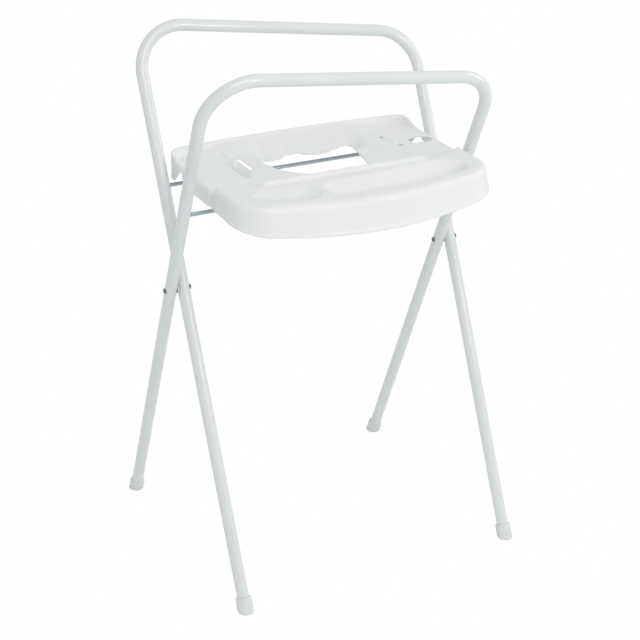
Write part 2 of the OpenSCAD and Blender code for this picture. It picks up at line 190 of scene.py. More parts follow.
WHITE = (1, 1, 1, 1)
WORLD_TINT, WORLD_STRENGTH = (0.965, 1.0, 0.985, 1.0), 0.77
FLOOR_TINT, FLOOR_ROUGHNESS = (0.86, 0.87, 0.88, 1), 0.8
FLOOR_WIDTH, FLOOR_Z = 40, -0.0005


def white_to_camera(tree, lit, white, output):
    """Camera rays see plain white, and all other rays see what is lit."""
    path = tree.nodes.new("ShaderNodeLightPath")
    mix = tree.nodes.new("ShaderNodeMixShader")
    tree.links.new(path.outputs["Is Camera Ray"], mix.inputs[0])
    tree.links.new(lit.outputs[0], mix.inputs[1])
    tree.links.new(white.outputs[0], mix.inputs[2])
    tree.links.new(mix.outputs[0], output.inputs["Surface"])


def make_world():
    world = bpy.data.worlds.new("studio")
    world.use_nodes = True
    tree = world.node_tree
    light = tree.nodes["Background"]
    light.inputs["Color"].default_value = WORLD_TINT
    light.inputs["Strength"].default_value = WORLD_STRENGTH
    white = add_node(tree, "ShaderNodeBackground", Color=WHITE, Strength=1.0)
    white_to_camera(tree, light, white, tree.nodes["World Output"])
    bpy.context.scene.world = world


def make_floor():
    """A wide pale floor that the camera sees as plain white."""
    bpy.ops.mesh.primitive_plane_add(size=FLOOR_WIDTH, location=(0, 0, FLOOR_Z))
    floor = bpy.context.object
    floor.name = "floor"
    material = bpy.data.materials.new("floor_white")
    material.use_nodes = True
    tree = material.node_tree
    matt = tree.nodes["Principled BSDF"]
    matt.inputs["Base Color"].default_value = FLOOR_TINT
    matt.inputs["Roughness"].default_value = FLOOR_ROUGHNESS
    white = add_node(tree, "ShaderNodeEmission", Color=WHITE, Strength=1.0)
    white_to_camera(tree, matt, white, tree.nodes["Material Output"])
    floor.data.materials.append(material)


def area_light(name, place, aim, width, height, power, tint):
    """A soft light at place that shines towards aim, with its power in watts."""
    data = bpy.data.lights.new(name, "AREA")
    data.shape = "RECTANGLE"
    data.size, data.size_y = width, height
    data.energy = power
    data.color = tint
    lamp = bpy.data.objects.new(name, data)
    bpy.context.scene.collection.objects.link(lamp)
    lamp.location = place
    lamp.rotation_euler = (Vector(aim) - Vector(place)).to_track_quat("-Z", "Y").to_euler()


def make_lights():
    area_light("front", (-0.25, -2.4, 2.9), (0, 0, 0.7), 2.4, 1.6, 21, (1.0, 0.955, 0.965))
    # a small one, which draws the bright streak along the tubes
    area_light("streak", (0.8, -2.7, 1.6), (0, 0, 0.6), 0.5, 0.6, 6.5, (1.0, 0.98, 0.98))
    area_light("right", (3.0, -0.4, 1.8), (0, 0, 0.6), 1.2, 2.0, 14, (1.0, 0.98, 1.0))


make_world()
make_floor()
make_lights()


# ---- meshes -------------------------------------------------------------------------------------

X_AXIS, Y_AXIS, Z_AXIS = np.eye(3)
AXIS_R = 0.001  # the radius of a ring that closes a turned shape at its axis


def piece_from(name, points, faces, body, node, material):
    """A smooth mesh piece that stands for a CAD node and rides on its body."""
    mesh = bpy.data.meshes.new(name)
    corners = np.asarray(faces, np.int32)
    mesh.vertices.add(len(points))
    mesh.vertices.foreach_set("co", np.asarray(points, np.float32).ravel())
    mesh.loops.add(corners.size)
    mesh.loops.foreach_set("vertex_index", corners.ravel())
    mesh.polygons.add(len(corners))
    mesh.polygons.foreach_set("loop_start", np.arange(len(corners), dtype=np.int32) * corners.shape[1])
    mesh.update(calc_edges=True)
    mesh.validate()
    mesh.shade_smooth()
    piece = bpy.data.objects.new(name, mesh)
    bpy.context.scene.collection.objects.link(piece)
    paint(piece, material)
    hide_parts(node)
    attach(piece, body)
    return piece


def ring_quads(rings, sides):
    """The quads between rings of points, each ring closed round its sides."""
    ring, step = np.meshgrid(np.arange(rings - 1), np.arange(sides), indexing="ij")
    a, b = ring * sides + step, ring * sides + (step + 1) % sides
    return np.stack([a, b, b + sides, a + sides], -1).reshape(-1, 4)


def sweep(path, radius, sides, side_axis):
    """A round tube along a path that lies in a plane with normal side_axis: points and quads."""
    ahead = np.gradient(path, axis=0)
    ahead /= np.linalg.norm(ahead, axis=1, keepdims=True)
    out = np.cross(ahead, side_axis)
    turns = np.linspace(0, 2 * np.pi, sides, endpoint=False)[None, :, None]
    rings = path[:, None] + radius * np.cos(turns) * side_axis + radius * np.sin(turns) * out[:, None]
    return rings.reshape(-1, 3), ring_quads(len(path), sides)


def turned(start, axes, radius, along, turns):
    """Rings round an axis: points and quads.

    axes holds the axis and two directions square to it, and radius and along a row for each ring.
    """
    axis, out, aside = axes
    rings = (
        np.asarray(start, float)
        + along[..., None] * axis
        + (radius * np.cos(turns))[..., None] * out
        + (radius * np.sin(turns))[..., None] * aside
    )
    return rings.reshape(-1, 3), ring_quads(len(radius), len(turns))


# ---- tube frames --------------------------------------------------------------------------------

TUBE_R = 11.0
TUBE_SIDES = 48
HALF_GAUGE = 277.8
FRAME_SHIFT = 12.35  # of each frame to its own side, so that the legs pass each other
BEND_R, BEND_POINTS = 82.0, 40
BAR_SLOPE = math.radians(7.9)
HANDLE_RUN = 440.6  # from the pivot up the leg to the middle of the bar
LEAN = math.atan2(ROD_Y, ROD_Z - PIVOT_Z)
PIVOT_RUN = PIVOT_Z / math.cos(LEAN)
TUBE_END = 10.0  # from the floor to the tube's end, along the leg
LONG_STEP = 24.0  # on the straight stretches


def divided(points, step):
    """The same path with its long straight stretches divided."""
    out = [points[0]]
    for a, b in zip(points[:-1], points[1:]):
        count = max(1, int(np.linalg.norm(b - a) / step))
        out += [a + (b - a) * k / count for k in range(1, count + 1)]
    return np.array(out)


def frame_path():
    """The bent tube's axis in its own plane, as (across, up the leg from the pivot)."""
    half_drop = HALF_GAUGE * math.tan(BAR_SLOPE)
    points = [(-HALF_GAUGE, TUBE_END - PIVOT_RUN)]
    for side in (-1, 1):
        turn = math.pi / 2 - side * BAR_SLOPE
        centre_x = side * (HALF_GAUGE - BEND_R)
        centre_z = HANDLE_RUN - side * half_drop - BEND_R * math.tan(turn / 2)
        angles = np.linspace(0, turn, BEND_POINTS)[::-side]
        points += [(centre_x + side * BEND_R * math.cos(a), centre_z + BEND_R * math.sin(a)) for a in angles]
    points.append((HALF_GAUGE, TUBE_END - PIVOT_RUN))
    return divided(np.array(points), LONG_STEP)


def leg_axes(lean_side):
    """Up the leg, and square to it in the side view.

    lean_side is 1 where the handle leans to the back, and -1 where it leans to the front.
    """
    lean = lean_side * LEAN
    up = np.array([0, math.sin(lean), math.cos(lean)])
    ahead = np.array([0, math.cos(lean), -math.sin(lean)])
    return up, ahead


def make_frame(node, body, lean_side):
    """One bent tube, shifted to its own side and leaning about the pivots."""
    up, ahead = leg_axes(lean_side)
    across, height = frame_path().T[..., None]
    path = (across + lean_side * FRAME_SHIFT) * X_AXIS + height * up + PIVOT_Z * Z_AXIS
    points, quads = sweep(path, TUBE_R, TUBE_SIDES, ahead)
    piece_from(node + "_tube", to_row(points), quads, body, node, POWDER)


make_frame("rear_handle_frame", "rear_frame", 1)
make_frame("front_handle_frame", "front_frame", -1)

for node, material in (
    ("rear_cross_rod", ZINC), ("front_cross_rod", ZINC),
    ("left_pivot_spacer", SPACER), ("right_pivot_spacer", SPACER),
):
    paint(frame["nodes"][node], material)


# ---- foot caps ----------------------------------------------------------------------------------

CAP_SOLE_R, CAP_TOP_R, CAP_LENGTH, CAP_BORE_R = 14.8, 14.2, 26.0, 11.08
CAP_HEEL_R, CAP_SHOULDER_R, CAP_ROUND_POINTS = 2.0, 1.8, 6
CAP_SIDES = 64
CAP_SHARP = math.radians(35)
SOLE_Z = 0.05  # just clear of the floor


def cap_profile():
    """From the sole up to the bore: (radius, height along the leg, whether it starts at the floor)."""
    bend = np.linspace(0, math.pi / 2, CAP_ROUND_POINTS)
    short, tall = 1 - np.sin(bend), 1 - np.cos(bend)
    heel = [(CAP_SOLE_R - CAP_HEEL_R * s, CAP_HEEL_R * t, 1) for s, t in zip(short, tall)]
    shoulder = [
        (CAP_TOP_R - CAP_SHOULDER_R * t, CAP_LENGTH - CAP_SHOULDER_R * s, 0) for s, t in zip(short, tall)
    ]
    bore = [(CAP_BORE_R, CAP_LENGTH, 0), (CAP_BORE_R, TUBE_END, 0), (AXIS_R, TUBE_END, 0)]
    return np.array([(AXIS_R, 0, 1)] + heel + shoulder + bore)


def make_cap(word, body, side, lean_side):
    """A cap turned about its leg's end, with a flat sole on the floor and rounded edges."""
    up, ahead = leg_axes(lean_side)
    foot = np.array([side * HALF_GAUGE + lean_side * FRAME_SHIFT, 0, PIVOT_Z]) - PIVOT_RUN * up
    radius, along, grounded = cap_profile().T[..., None]
    turns = np.linspace(0, 2 * np.pi, CAP_SIDES, endpoint=False)
    along = along + grounded * (SOLE_Z - radius * np.sin(turns) * ahead[2]) / up[2]
    points, quads = turned(foot, (up, X_AXIS, ahead), radius, along, turns)
    cap = piece_from(word + "_cap", to_row(points), quads, body, word + "_foot", CAP)
    cap.data.set_sharp_from_angle(angle=CAP_SHARP)


for side, word in ((-1, "left"), (1, "right")):
    make_cap("front_" + word, "rear_frame", side, 1)
    make_cap("back_" + word, "front_frame", side, -1)


# ---- pivot bolts and nuts -----------------------------------------------------------------------

BOLT_R, BOLT_PAST, BOLT_CHAMFER = 3.0, 3.2, 0.8
HEAD_R, HEAD_RISE, HEAD_RIM = 5.0, 2.8, 0.25  # the rim's height is a share of the rise
SOCKET_RIM_R, SOCKET_R, SOCKET_DEEP = 1.9, 1.6, 1.4
NUT_GAP = 0.1
STACK_HALF = FRAME_SHIFT + TUBE_R  # half of the two crossed tubes with their spacer
BOLT_SIDES, DOME_POINTS = 48, 8


def dome(start, way, hole_r):
    """A shallow dome from its rim in to a hole, as (radius, along); way is the side that it rises to."""
    turns = np.linspace(0, math.pi / 2, DOME_POINTS)
    radius, share = HEAD_R * np.cos(turns), HEAD_RIM + (1 - HEAD_RIM) * np.sin(turns)
    return [(r, start + way * HEAD_RISE * h) for r, h in zip(radius, share) if r > hole_r]


def bolt_profile():
    """From the socket's floor out over the head, then along the shank to its tip, as (radius, along)."""
    head, tip = -STACK_HALF, STACK_HALF + BOLT_PAST
    top = head - HEAD_RISE
    profile = [(AXIS_R, top + SOCKET_DEEP), (SOCKET_R, top + SOCKET_DEEP), (SOCKET_RIM_R, top)]
    profile += dome(head, -1, SOCKET_RIM_R)[::-1] + [(HEAD_R, head), (BOLT_R, head)]
    return profile + [(BOLT_R, tip - BOLT_CHAMFER), (BOLT_R - BOLT_CHAMFER, tip), (AXIS_R, tip)]


def nut_profile():
    """From the bore out along the seat, then over the dome and back through the bore."""
    bore = BOLT_R + NUT_GAP
    profile = [(bore, STACK_HALF), (HEAD_R, STACK_HALF)] + dome(STACK_HALF, 1, bore)
    return profile + [(bore, STACK_HALF + HEAD_RISE), (bore, STACK_HALF)]


def make_on_pivot(name, node, profile, side):
    """A bolt or nut turned about the pivots' axis, at the left or the right legs."""
    radius, along = np.array(profile).T[..., None]
    start = (side * HALF_GAUGE, 0, PIVOT_Z)
    turns = np.linspace(0, 2 * np.pi, BOLT_SIDES, endpoint=False)
    points, quads = turned(start, (X_AXIS, Y_AXIS, Z_AXIS), radius, along, turns)
    piece_from(name, to_row(points), quads, "rear_frame", node, BOLT)


for side, word in ((-1, "left"), (1, "right")):
    make_on_pivot(word + "_bolt_domed", word + "_pivot_bolt", bolt_profile(), side)
    make_on_pivot(word + "_nut_domed", word + "_pivot_nut", nut_profile(), side)


# ---- plan outlines and distances ----------------------------------------------------------------


def arc(centre, radius, start, end, count):
    """Points on an arc, angles in degrees from +X."""
    turns = np.radians(np.linspace(start, end, count))
    return np.column_stack([centre[0] + radius * np.cos(turns), centre[1] + radius * np.sin(turns)])


def smooth_loop(points, steps=8):
    """A closed Catmull-Rom curve through given points."""
    points = np.asarray(points, float)
    t = np.linspace(0, 1, steps, endpoint=False)[:, None]
    spans = []
    for i in range(len(points)):
        a, b, c, d = (points[(i + k) % len(points)] for k in (-1, 0, 1, 2))
        spans.append(
            0.5 * (2 * b + (c - a) * t + (2 * a - 5 * b + 4 * c - d) * t**2 + (3 * b - a - 3 * c + d) * t**3)
        )
    return np.vstack(spans)


def distance_to(outline, x, y):
    """Signed distance in plan from a closed outline, negative inside."""
    a = np.asarray(outline, float)
    b = np.roll(a, -1, axis=0)
    best = np.full(x.shape, 1e9, np.float32)
    inside = np.zeros(x.shape, bool)
    for (ax, ay), (bx, by) in zip(a, b):
        ex, ey = bx - ax, by - ay
        length = ex * ex + ey * ey
        if length < 1e-12:
            continue
        t = np.clip(((x - ax) * ex + (y - ay) * ey) / length, 0, 1)
        best = np.minimum(best, (x - ax - ex * t) ** 2 + (y - ay - ey * t) ** 2)
        if ay != by:
            inside ^= ((ay > y) != (by > y)) & (x < ax + ex * (y - ay) / ey)
    return np.where(inside, -1, 1) * np.sqrt(best)


def slab(value, low, high):
    """Distance to the slab from low to high."""
    return np.maximum(low - value, value - high)


def smooth(t):
    """t kept from 0 to 1, with both ends eased."""
    t = np.clip(t, 0, 1)
    return t * t * (3 - 2 * t)


def rise(low, high, x):
    """0 before low, 1 after high and smooth between them."""
    return smooth((x - low) / (high - low))


def fall(low, high, x):
    """1 before low, 0 after high and smooth between them."""
    return rise(-high, -low, -x)


def join(a, b, k):
    """The smaller of two distances, with a fillet of about k."""
    h = np.clip(0.5 + 0.5 * (b - a) / k, 0, 1)
    return b + (a - b) * h - k * h * (1 - h)


def cut(a, b, k):
    """The larger of two distances, with a rounded edge of about k."""
    return -join(-a, -b, k)


def blur(field, sigma):
    """Softens the creases of a height field by sigma cells."""
    reach = int(3 * sigma) + 1
    kernel = np.exp(-0.5 * (np.arange(-reach, reach + 1) / sigma) ** 2)
    kernel /= kernel.sum()
    for axis in (0, 1):
        padded = np.pad(field, [(reach, reach) if k == axis else (0, 0) for k in (0, 1)], mode="edge")
        field = sum(w * np.take(padded, range(i, i + field.shape[axis]), axis) for i, w in enumerate(kernel))
    return field


# ---- tray: the rim in plan, with a bowed front, straight sides and a slightly bowed rear --------

HALF_WIDTH = 245.0
FRONT_Y, REAR_Y = -264.0, 124.0
FRONT_BOW_R, REAR_BOW_R = 620.0, 2350.0
FRONT_CORNER_R, REAR_CORNER_R = 75.0, 30.0


def rim_outline():
    """Half of the rim from the middle of the front round to the middle of the rear, and its mirror."""
    front = np.array([0, FRONT_Y + FRONT_BOW_R])
    fx = HALF_WIDTH - FRONT_CORNER_R
    fy = front[1] - math.sqrt((FRONT_BOW_R - FRONT_CORNER_R) ** 2 - fx * fx)
    front_turn = math.degrees(math.asin(fx / (FRONT_BOW_R - FRONT_CORNER_R)))
    rear = np.array([0, REAR_Y - REAR_BOW_R])
    rx = HALF_WIDTH - REAR_CORNER_R
    ry = rear[1] + math.sqrt((REAR_BOW_R - REAR_CORNER_R) ** 2 - rx * rx)
    rear_turn = math.degrees(math.asin(rx / (REAR_BOW_R - REAR_CORNER_R)))
    half = np.vstack([
        arc(front, FRONT_BOW_R, -90, -90 + front_turn, 16),
        arc((fx, fy), FRONT_CORNER_R, -90 + front_turn, 0, 20)[1:],
        arc((rx, ry), REAR_CORNER_R, 0, 90 - rear_turn, 16),
        arc(rear, REAR_BOW_R, 90 - rear_turn, 90, 8)[1:],
    ])
    return np.vstack([half, (half * (-1, 1))[-2:0:-1]])


# ---- tray: the deck, its raised shelf and its lip -----------------------------------------------

DECK_Z = ROD_Z + 42.0
SHELF = [
    (-270, -72), (-228, -95), (-196, -113), (-164, -118), (164, -118), (196, -113), (228, -95),
    (270, -72), (270, -300), (-270, -300),
]
SHELF_RISE, SHELF_EDGE = 9.0, (2, 9)  # the edge climbs between these distances inside the outline
LIP_RISE, LIP_START, LIP_FULL = 15.0, 30.0, 97.0
LIP_INSIDE = (-14, -7)  # distances from the rim
REAR_RISE, REAR_CLIMB_X, REAR_CLIMB_Y = 9.5, (115, 225), (58, 108)


def shelf_height(x, y):
    """The deck with the raised shelf along its front."""
    return DECK_Z + SHELF_RISE * rise(*SHELF_EDGE, -distance_to(SHELF, x, y))


def lip_profile(y):
    """The lip's height along the sides, which grows slowly towards the rear."""
    return LIP_RISE * np.clip((y - LIP_START) / (LIP_FULL - LIP_START), 0, 1) ** 2


def add_lip(z, x, y, rim):
    """The deck climbs to the lip along the rear, and the lip fades out on the sides."""
    climb = REAR_RISE * fall(*REAR_CLIMB_X, np.abs(x)) * rise(*REAR_CLIMB_Y, y)
    return z + (climb + (lip_profile(y) - climb) * rise(*LIP_INSIDE, rim))


# ---- tray: the window and the ramp down to it ---------------------------------------------------

WINDOW_ARC = (8, 5, 110)  # x, y, radius
WINDOW_LEFT, WINDOW_FRONT, WINDOW_REAR = -200, -87, 54
WINDOW_RIGHT = [
    (62, -88), (67, -63), (73, -32), (77, -12), (83, 4), (90, 20), (97, 36), (98, 46), (95, 52),
    (88, 54), (78, 54), (65, 49), (40, 38), (26, 36), (12, 41), (12, 54),
]
WINDOW_LOBES = [(-68, 83, 43), (14, 62, 21)]  # x, y, radius
RAMP_X, RAMP_EASE_X = (-99.0, 125.0), (20, 30)
RAMP_START_Y, RAMP_END_Y = (-5, 40), (107, 112)
RAMP_REAR, RAMP_FRONT = (110.0, 763.0), (50.0, 741.0)  # y, z
FLUTE_PITCH, FLUTE_DEPTH, FLUTE_CREST_X, FLUTE_FADE_X = 24.0, 0.5, 8, (70, 95)


def window_distance(x, y):
    """Distance in plan from the window: an arc on the left, and lobes that reach in from the rear."""
    cx, cy, r = WINDOW_ARC
    wide = np.vstack([[(WINDOW_LEFT, WINDOW_REAR), (WINDOW_LEFT, WINDOW_FRONT)], WINDOW_RIGHT])
    d = cut(np.hypot(x - cx, y - cy) - r, distance_to(wide, x, y), 0.5)
    for lx, ly, lr in WINDOW_LOBES:
        d = cut(d, lr - np.hypot(x - lx, y - ly), 1.0)
    return d


def carve_ramp(z, x, y):
    """The ramp down to the window, with shallow flutes."""
    sides = rise(0, RAMP_EASE_X[0], x - RAMP_X[0]) * rise(0, RAMP_EASE_X[1], RAMP_X[1] - x)
    (rear_y, rear_z), (front_y, front_z) = RAMP_REAR, RAMP_FRONT
    floor = front_z + (rear_z - front_z) * np.clip((y - front_y) / (rear_y - front_y), 0, 1)
    waves = FLUTE_DEPTH * np.cos((x - FLUTE_CREST_X) * 2 * np.pi / FLUTE_PITCH)
    floor += waves * fall(*FLUTE_FADE_X, np.abs(x))
    return z - np.clip(z - floor, 0, None) * sides * rise(*RAMP_START_Y, y) * fall(*RAMP_END_Y, y)


# ---- tray: the ridge, the knobs and the right side's rib ----------------------------------------

RIDGE_X, RIDGE_Y = (-176.0, 166.0), -127.0
RIDGE_HALF, RIDGE_RISE, RIDGE_END = 9.0, 7.0, 16
KNOB, KNOB_TOP_R, KNOB_R, KNOB_RISE = (241.0, -104.0), 2, 8.0, 6.0
RIB, RIB_HALF, RIB_RISE, RIB_END = [(158.0, 31.0), (166.0, -10.0)], 5.5, 3.5, 8
RIB_SLOTS = [(155.5, 37.0, 3.4, 4.0), (167.0, -15.0, 3.6, 4.0)]  # x, y, radius, half-length


def add_ridge(z, x, y):
    """The round ridge in front of the window."""
    across = np.clip(1 - ((y - RIDGE_Y) / RIDGE_HALF) ** 2, 0, 1)
    ends = rise(0, RIDGE_END, x - RIDGE_X[0]) * rise(0, RIDGE_END, RIDGE_X[1] - x)
    ridge = DECK_Z + (SHELF_RISE + RIDGE_RISE) * np.sqrt(across) * ends
    return np.where(across * ends > 0, np.maximum(z, ridge), z)


def add_knobs(z, x, y):
    """A knob on each side, at the shelf's rear end."""
    out = np.hypot(np.abs(x) - KNOB[0], y - KNOB[1])
    return z + KNOB_RISE * fall(KNOB_TOP_R, KNOB_R, out)


def add_rib(z, x, y):
    """The right side's low catch, a rib between two slots."""
    (ax, ay), (bx, by) = RIB
    length = math.hypot(bx - ax, by - ay)
    along = ((x - ax) * (bx - ax) + (y - ay) * (by - ay)) / length
    aside = ((x - ax) * (by - ay) - (y - ay) * (bx - ax)) / length
    ends = rise(0, RIB_END, along) * rise(0, RIB_END, length - along)
    return z + RIB_RISE * np.sqrt(np.clip(1 - (aside / RIB_HALF) ** 2, 0, 1)) * ends


# ---- tray: the long trough and the soap pocket --------------------------------------------------

TROUGH = [
    (-76, -190), (-68, -168), (-46, -156), (29, -153), (91, -148), (144, -143), (178, -145), (200, -155),
    (209, -172), (202, -195), (183, -211), (129, -222), (84, -231), (30, -236), (-30, -238), (-62, -229),
]
POCKET = [
    (-204, -176), (-198, -158), (-172, -148), (-140, -151), (-106, -153), (-88, -166), (-86, -196),
    (-100, -220), (-131, -222), (-158, -214), (-186, -202),
]
# depth, and the widths of the slopes from the rear edge and from the front edge
TROUGH_FORM = (17.5, 58.0, 9.0)
POCKET_FORM = (9.0, 52.0, 30.0)
BASIN_TURN, BASIN_ROUND = 1.1, 1.7  # how soon the front's slope takes over, and how round the slopes are


def basin(height, x, y, outline, depth, rear_slope, front_slope):
    """Lowers height inside an outline, with a longer slope at its rear than at its front."""
    loop = smooth_loop(outline)
    ahead = np.clip((loop[:, 1].max() - y) / np.ptp(loop[:, 1]), 0, 1)
    slope = rear_slope + (front_slope - rear_slope) * smooth(ahead * BASIN_TURN)
    share = np.clip(-distance_to(loop, x, y) / slope, 0, 1)
    return height - depth * (1 - (1 - share) ** BASIN_ROUND)


def tray_height(x, y, rim):
    """The tray's upper surface in plan."""
    z = add_lip(shelf_height(x, y), x, y, rim)
    z = carve_ramp(z, x, y)
    z = add_ridge(z, x, y)
    z = add_knobs(z, x, y)
    z = add_rib(z, x, y)
    z = basin(z, x, y, TROUGH, *TROUGH_FORM)
    return basin(z, x, y, POCKET, *POCKET_FORM)


# ---- tray: the underside's beams, clips and saddles ---------------------------------------------

ROD_R = 3.5
BEAM_X, BEAM_T, BEAM_H = 178.0, 3.0, 22.0
BEAM_Y = (-ROD_Y - 60, 104)
CLIP_X, CLIP_W, CLIP_R, CLIP_GAP = 112.0, 14.0, 6.6, 0.1
MOUTH_ACROSS, MOUTH_DOWN, MOUTH_REACH = 0.64, 0.77, 40  # the first two give its faces' slope
SADDLE_HALF, SADDLE_FOOT, SADDLE_SLANT, SADDLE_GAP = 12, 3, (-2, 6), 0.4
UNDER_TOP_Z = DECK_Z - 1  # where the clips and saddles end inside the deck


def clip(deep, z, span):
    """An open clip that hangs on the front rod, joined to the deck."""
    out = np.hypot(deep + ROD_Y, z - ROD_Z)
    neck = np.maximum(slab(deep, -ROD_Y - CLIP_R, -ROD_Y + CLIP_R), slab(z, ROD_Z, UNDER_TOP_Z))
    wedge = np.abs(deep + ROD_Y) * MOUTH_ACROSS + (z - ROD_Z) * MOUTH_DOWN
    mouth = np.maximum(-z + ROD_Z - MOUTH_REACH, wedge)
    boss = np.maximum(np.minimum(out - CLIP_R, neck), span)
    return np.maximum(boss, -np.minimum(out - ROD_R - CLIP_GAP, mouth))


def saddle(deep, z, span):
    """A block that rests on the rear rod, with a slanted foot."""
    block = np.maximum(slab(deep, ROD_Y - SADDLE_HALF, ROD_Y + SADDLE_HALF), slab(z, ROD_Z - 1, UNDER_TOP_Z))
    block = np.maximum(block, span)
    block = np.maximum(block, (ROD_Z + ROD_R + SADDLE_FOOT) - z - np.clip(deep - ROD_Y, *SADDLE_SLANT))
    seat = np.hypot(deep - ROD_Y, z - ROD_Z) - ROD_R - SADDLE_GAP
    return np.maximum(block, -seat)


def add_underside(shell, x, y, z, outer):
    """Beams under the deck, four clips on the front rod and two saddles on the rear rod."""
    wide, deep = np.abs(x)[..., None], y[..., None]
    beam = np.maximum(slab(wide, BEAM_X - BEAM_T / 2, BEAM_X + BEAM_T / 2), slab(deep, *BEAM_Y))
    beam = np.maximum(beam, slab(z, DECK_Z - BEAM_H, DECK_Z))
    shell = join(shell, np.maximum(beam, outer + 1), 1.5)
    for place in (BEAM_X, CLIP_X):
        shell = np.minimum(shell, clip(deep, z, slab(wide, place - CLIP_W / 2, place + CLIP_W / 2)))
    return np.minimum(shell, saddle(deep, z, slab(wide, BEAM_X - CLIP_W / 2, BEAM_X + CLIP_W / 2)))


# ---- tray: the catches, the hose hole and the hook slots ----------------------------------------

CATCH = [  # in plan, with x counted to the left
    (142.5, -30), (142.5, 46), (146, 66), (156, 92), (164, 66), (165, 10), (165, -52), (160, -58), (154, -52),
]
CATCH_DEEP, CATCH_RAMP, CATCH_WALL = 20.0, (38.0, 92.0), 3.0
TONGUE_X, TONGUE_Y, TONGUE_GAP, TONGUE_SLIT = 139.5, (-22.0, 38.0), 8.0, 6.5
HOSE_X, HOSE_Y, HOSE_R = (207.0, 221.0), -7.0, 16.0
HOSE_UNDERCUT, HOSE_UNDERCUT_DEEP = 1.8, 4
HOOK_X, HOOK_Y, HOOK_TOP_Z, HOOK_SLANT = 225, (40.0, 50.0), DECK_Z - 11.0, 1.1
# these turn a run across the slanted faces into about a distance
HOSE_FACTOR, HOOK_FACTOR = 2.0, 0.7


def add_catch(shell, x, y, z, height):
    """The left side's deep catch, with a springy tongue cut free in the wall next to the middle."""
    wide = -x
    plan = distance_to(CATCH, wide, y)
    floor = height - CATCH_DEEP * fall(*CATCH_RAMP, y)
    walls = np.maximum(plan - CATCH_WALL, TONGUE_X - wide)[..., None]
    walls = np.maximum(walls, np.maximum(z - height[..., None] + 1, (floor - CATCH_WALL)[..., None] - z))
    pocket = np.maximum(plan[..., None], floor[..., None] - z)
    shell = cut(join(shell, walls, 1.0), -pocket, 1.0)
    gap = np.maximum(slab(wide, TONGUE_X - TONGUE_GAP, TONGUE_X), slab(y, *TONGUE_Y))[..., None]
    slit = slab(y, TONGUE_Y[1], TONGUE_Y[1] + TONGUE_SLIT)
    slit = np.maximum(slit, slab(wide, TONGUE_X - TONGUE_GAP, TONGUE_X + CATCH_WALL + 1))
    slit = np.maximum(slit[..., None], (height - CATCH_DEEP + 1)[..., None] - z)
    return shell, np.minimum(gap, slit)


def rib_slots(x, y):
    """The round-ended slots before and behind the right side's rib."""
    slots = [np.hypot(x - cx, np.maximum(np.abs(y - cy) - half, 0)) - r for cx, cy, r, half in RIB_SLOTS]
    return np.minimum(*slots)[..., None]


def hose_hole(x, y, z):
    """An oblong hole that widens below the deck."""
    out = np.hypot(x - np.clip(x, *HOSE_X), y - HOSE_Y)[..., None]
    under = np.clip(DECK_Z - 1.0 - z, 0, HOSE_UNDERCUT_DEEP)
    return (out - HOSE_R - HOSE_UNDERCUT * under) / np.where(under > 0, HOSE_FACTOR, 1.0)


def hook_slots(x, y, z):
    """The slots under the rear corners that hook on the frame's legs, with a slanted rear edge."""
    front = HOOK_Y[0] - y[..., None]
    rear = y[..., None] - HOOK_Y[1] - HOOK_SLANT * (HOOK_TOP_Z - z)
    slot = cut(np.maximum(front, z - HOOK_TOP_Z), rear * HOOK_FACTOR, 2.0)
    return np.maximum(slot, HOOK_X - np.abs(x)[..., None])


def cut_openings(shell, x, y, z, height):
    """The window, the catch and its tongue, the rib's slots, the hose hole and the hook slots."""
    shell = cut(shell, -window_distance(x, y)[..., None], 1.2)
    shell, tongue = add_catch(shell, x, y, z, height)
    shell = cut(shell, -np.minimum(tongue, rib_slots(x, y)), 0.5)
    shell = cut(shell, -hose_hole(x, y, z), 0.5)
    return cut(shell, -hook_slots(x, y, z), 2.5)


# ---- tray: the moulding -------------------------------------------------------------------------

CELL = 1.5
TRAY_BOX = ((-253.0, 253.0), (-280.0, 124.0), (700.0, 772.0))  # the grid in x, y and z
WALL = 3.0
SOFTEN = 1.8 / CELL
SLOPE_LIMIT = 6.0  # of the squared slope, so that steep walls keep a fair distance
EDGE_R, DECK_EDGE_R, EDGE_Y = 9.0, 5.5, (-105, -60)
EDGE_FACTOR = 1.17  # from a radius to the k that cut() takes
FRONT_SPREAD, SIDE_SPREAD, SPREAD_Y = 12.0, 3.0, (10, 50)  # of the skirt, from its top to its foot
SIDE_LOW_Z, FRONT_LOW_Z, SKIRT_DROP_Y = DECK_Z - 29.0, DECK_Z - 45.0, -120
SPREAD_LIMIT, DROP_LIMIT = 1.1, 1.2  # how far each may run on, as a share of its run
HOOK_CUT, HOOK_CUT_Y, HOOK_END_Y = 9.0, (-15, 20), (44, 60)
HOOK_TIP, HOOK_TIP_X = 6.0, (215, 238)
BEAD_OUT, BEAD_Z = 1.0, (3.5, 7.5)
NOTCH_Y, NOTCH_DEEP, NOTCH_FADE = (-108.0, -86.0), 7.0, 10


def skirt_foot(x, y):
    """The height of the skirt's lower edge, which drops at the front and steps up before the hooks."""
    ahead = np.clip((SKIRT_DROP_Y - y) / (SKIRT_DROP_Y - FRONT_Y), 0, DROP_LIMIT)
    low = SIDE_LOW_Z - (SIDE_LOW_Z - FRONT_LOW_Z) * ahead**2
    low += HOOK_CUT * rise(*HOOK_CUT_Y, y) * fall(*HOOK_END_Y, y)
    low -= HOOK_TIP * rise(*HOOK_END_Y, y) * rise(*HOOK_TIP_X, np.abs(x))
    return low


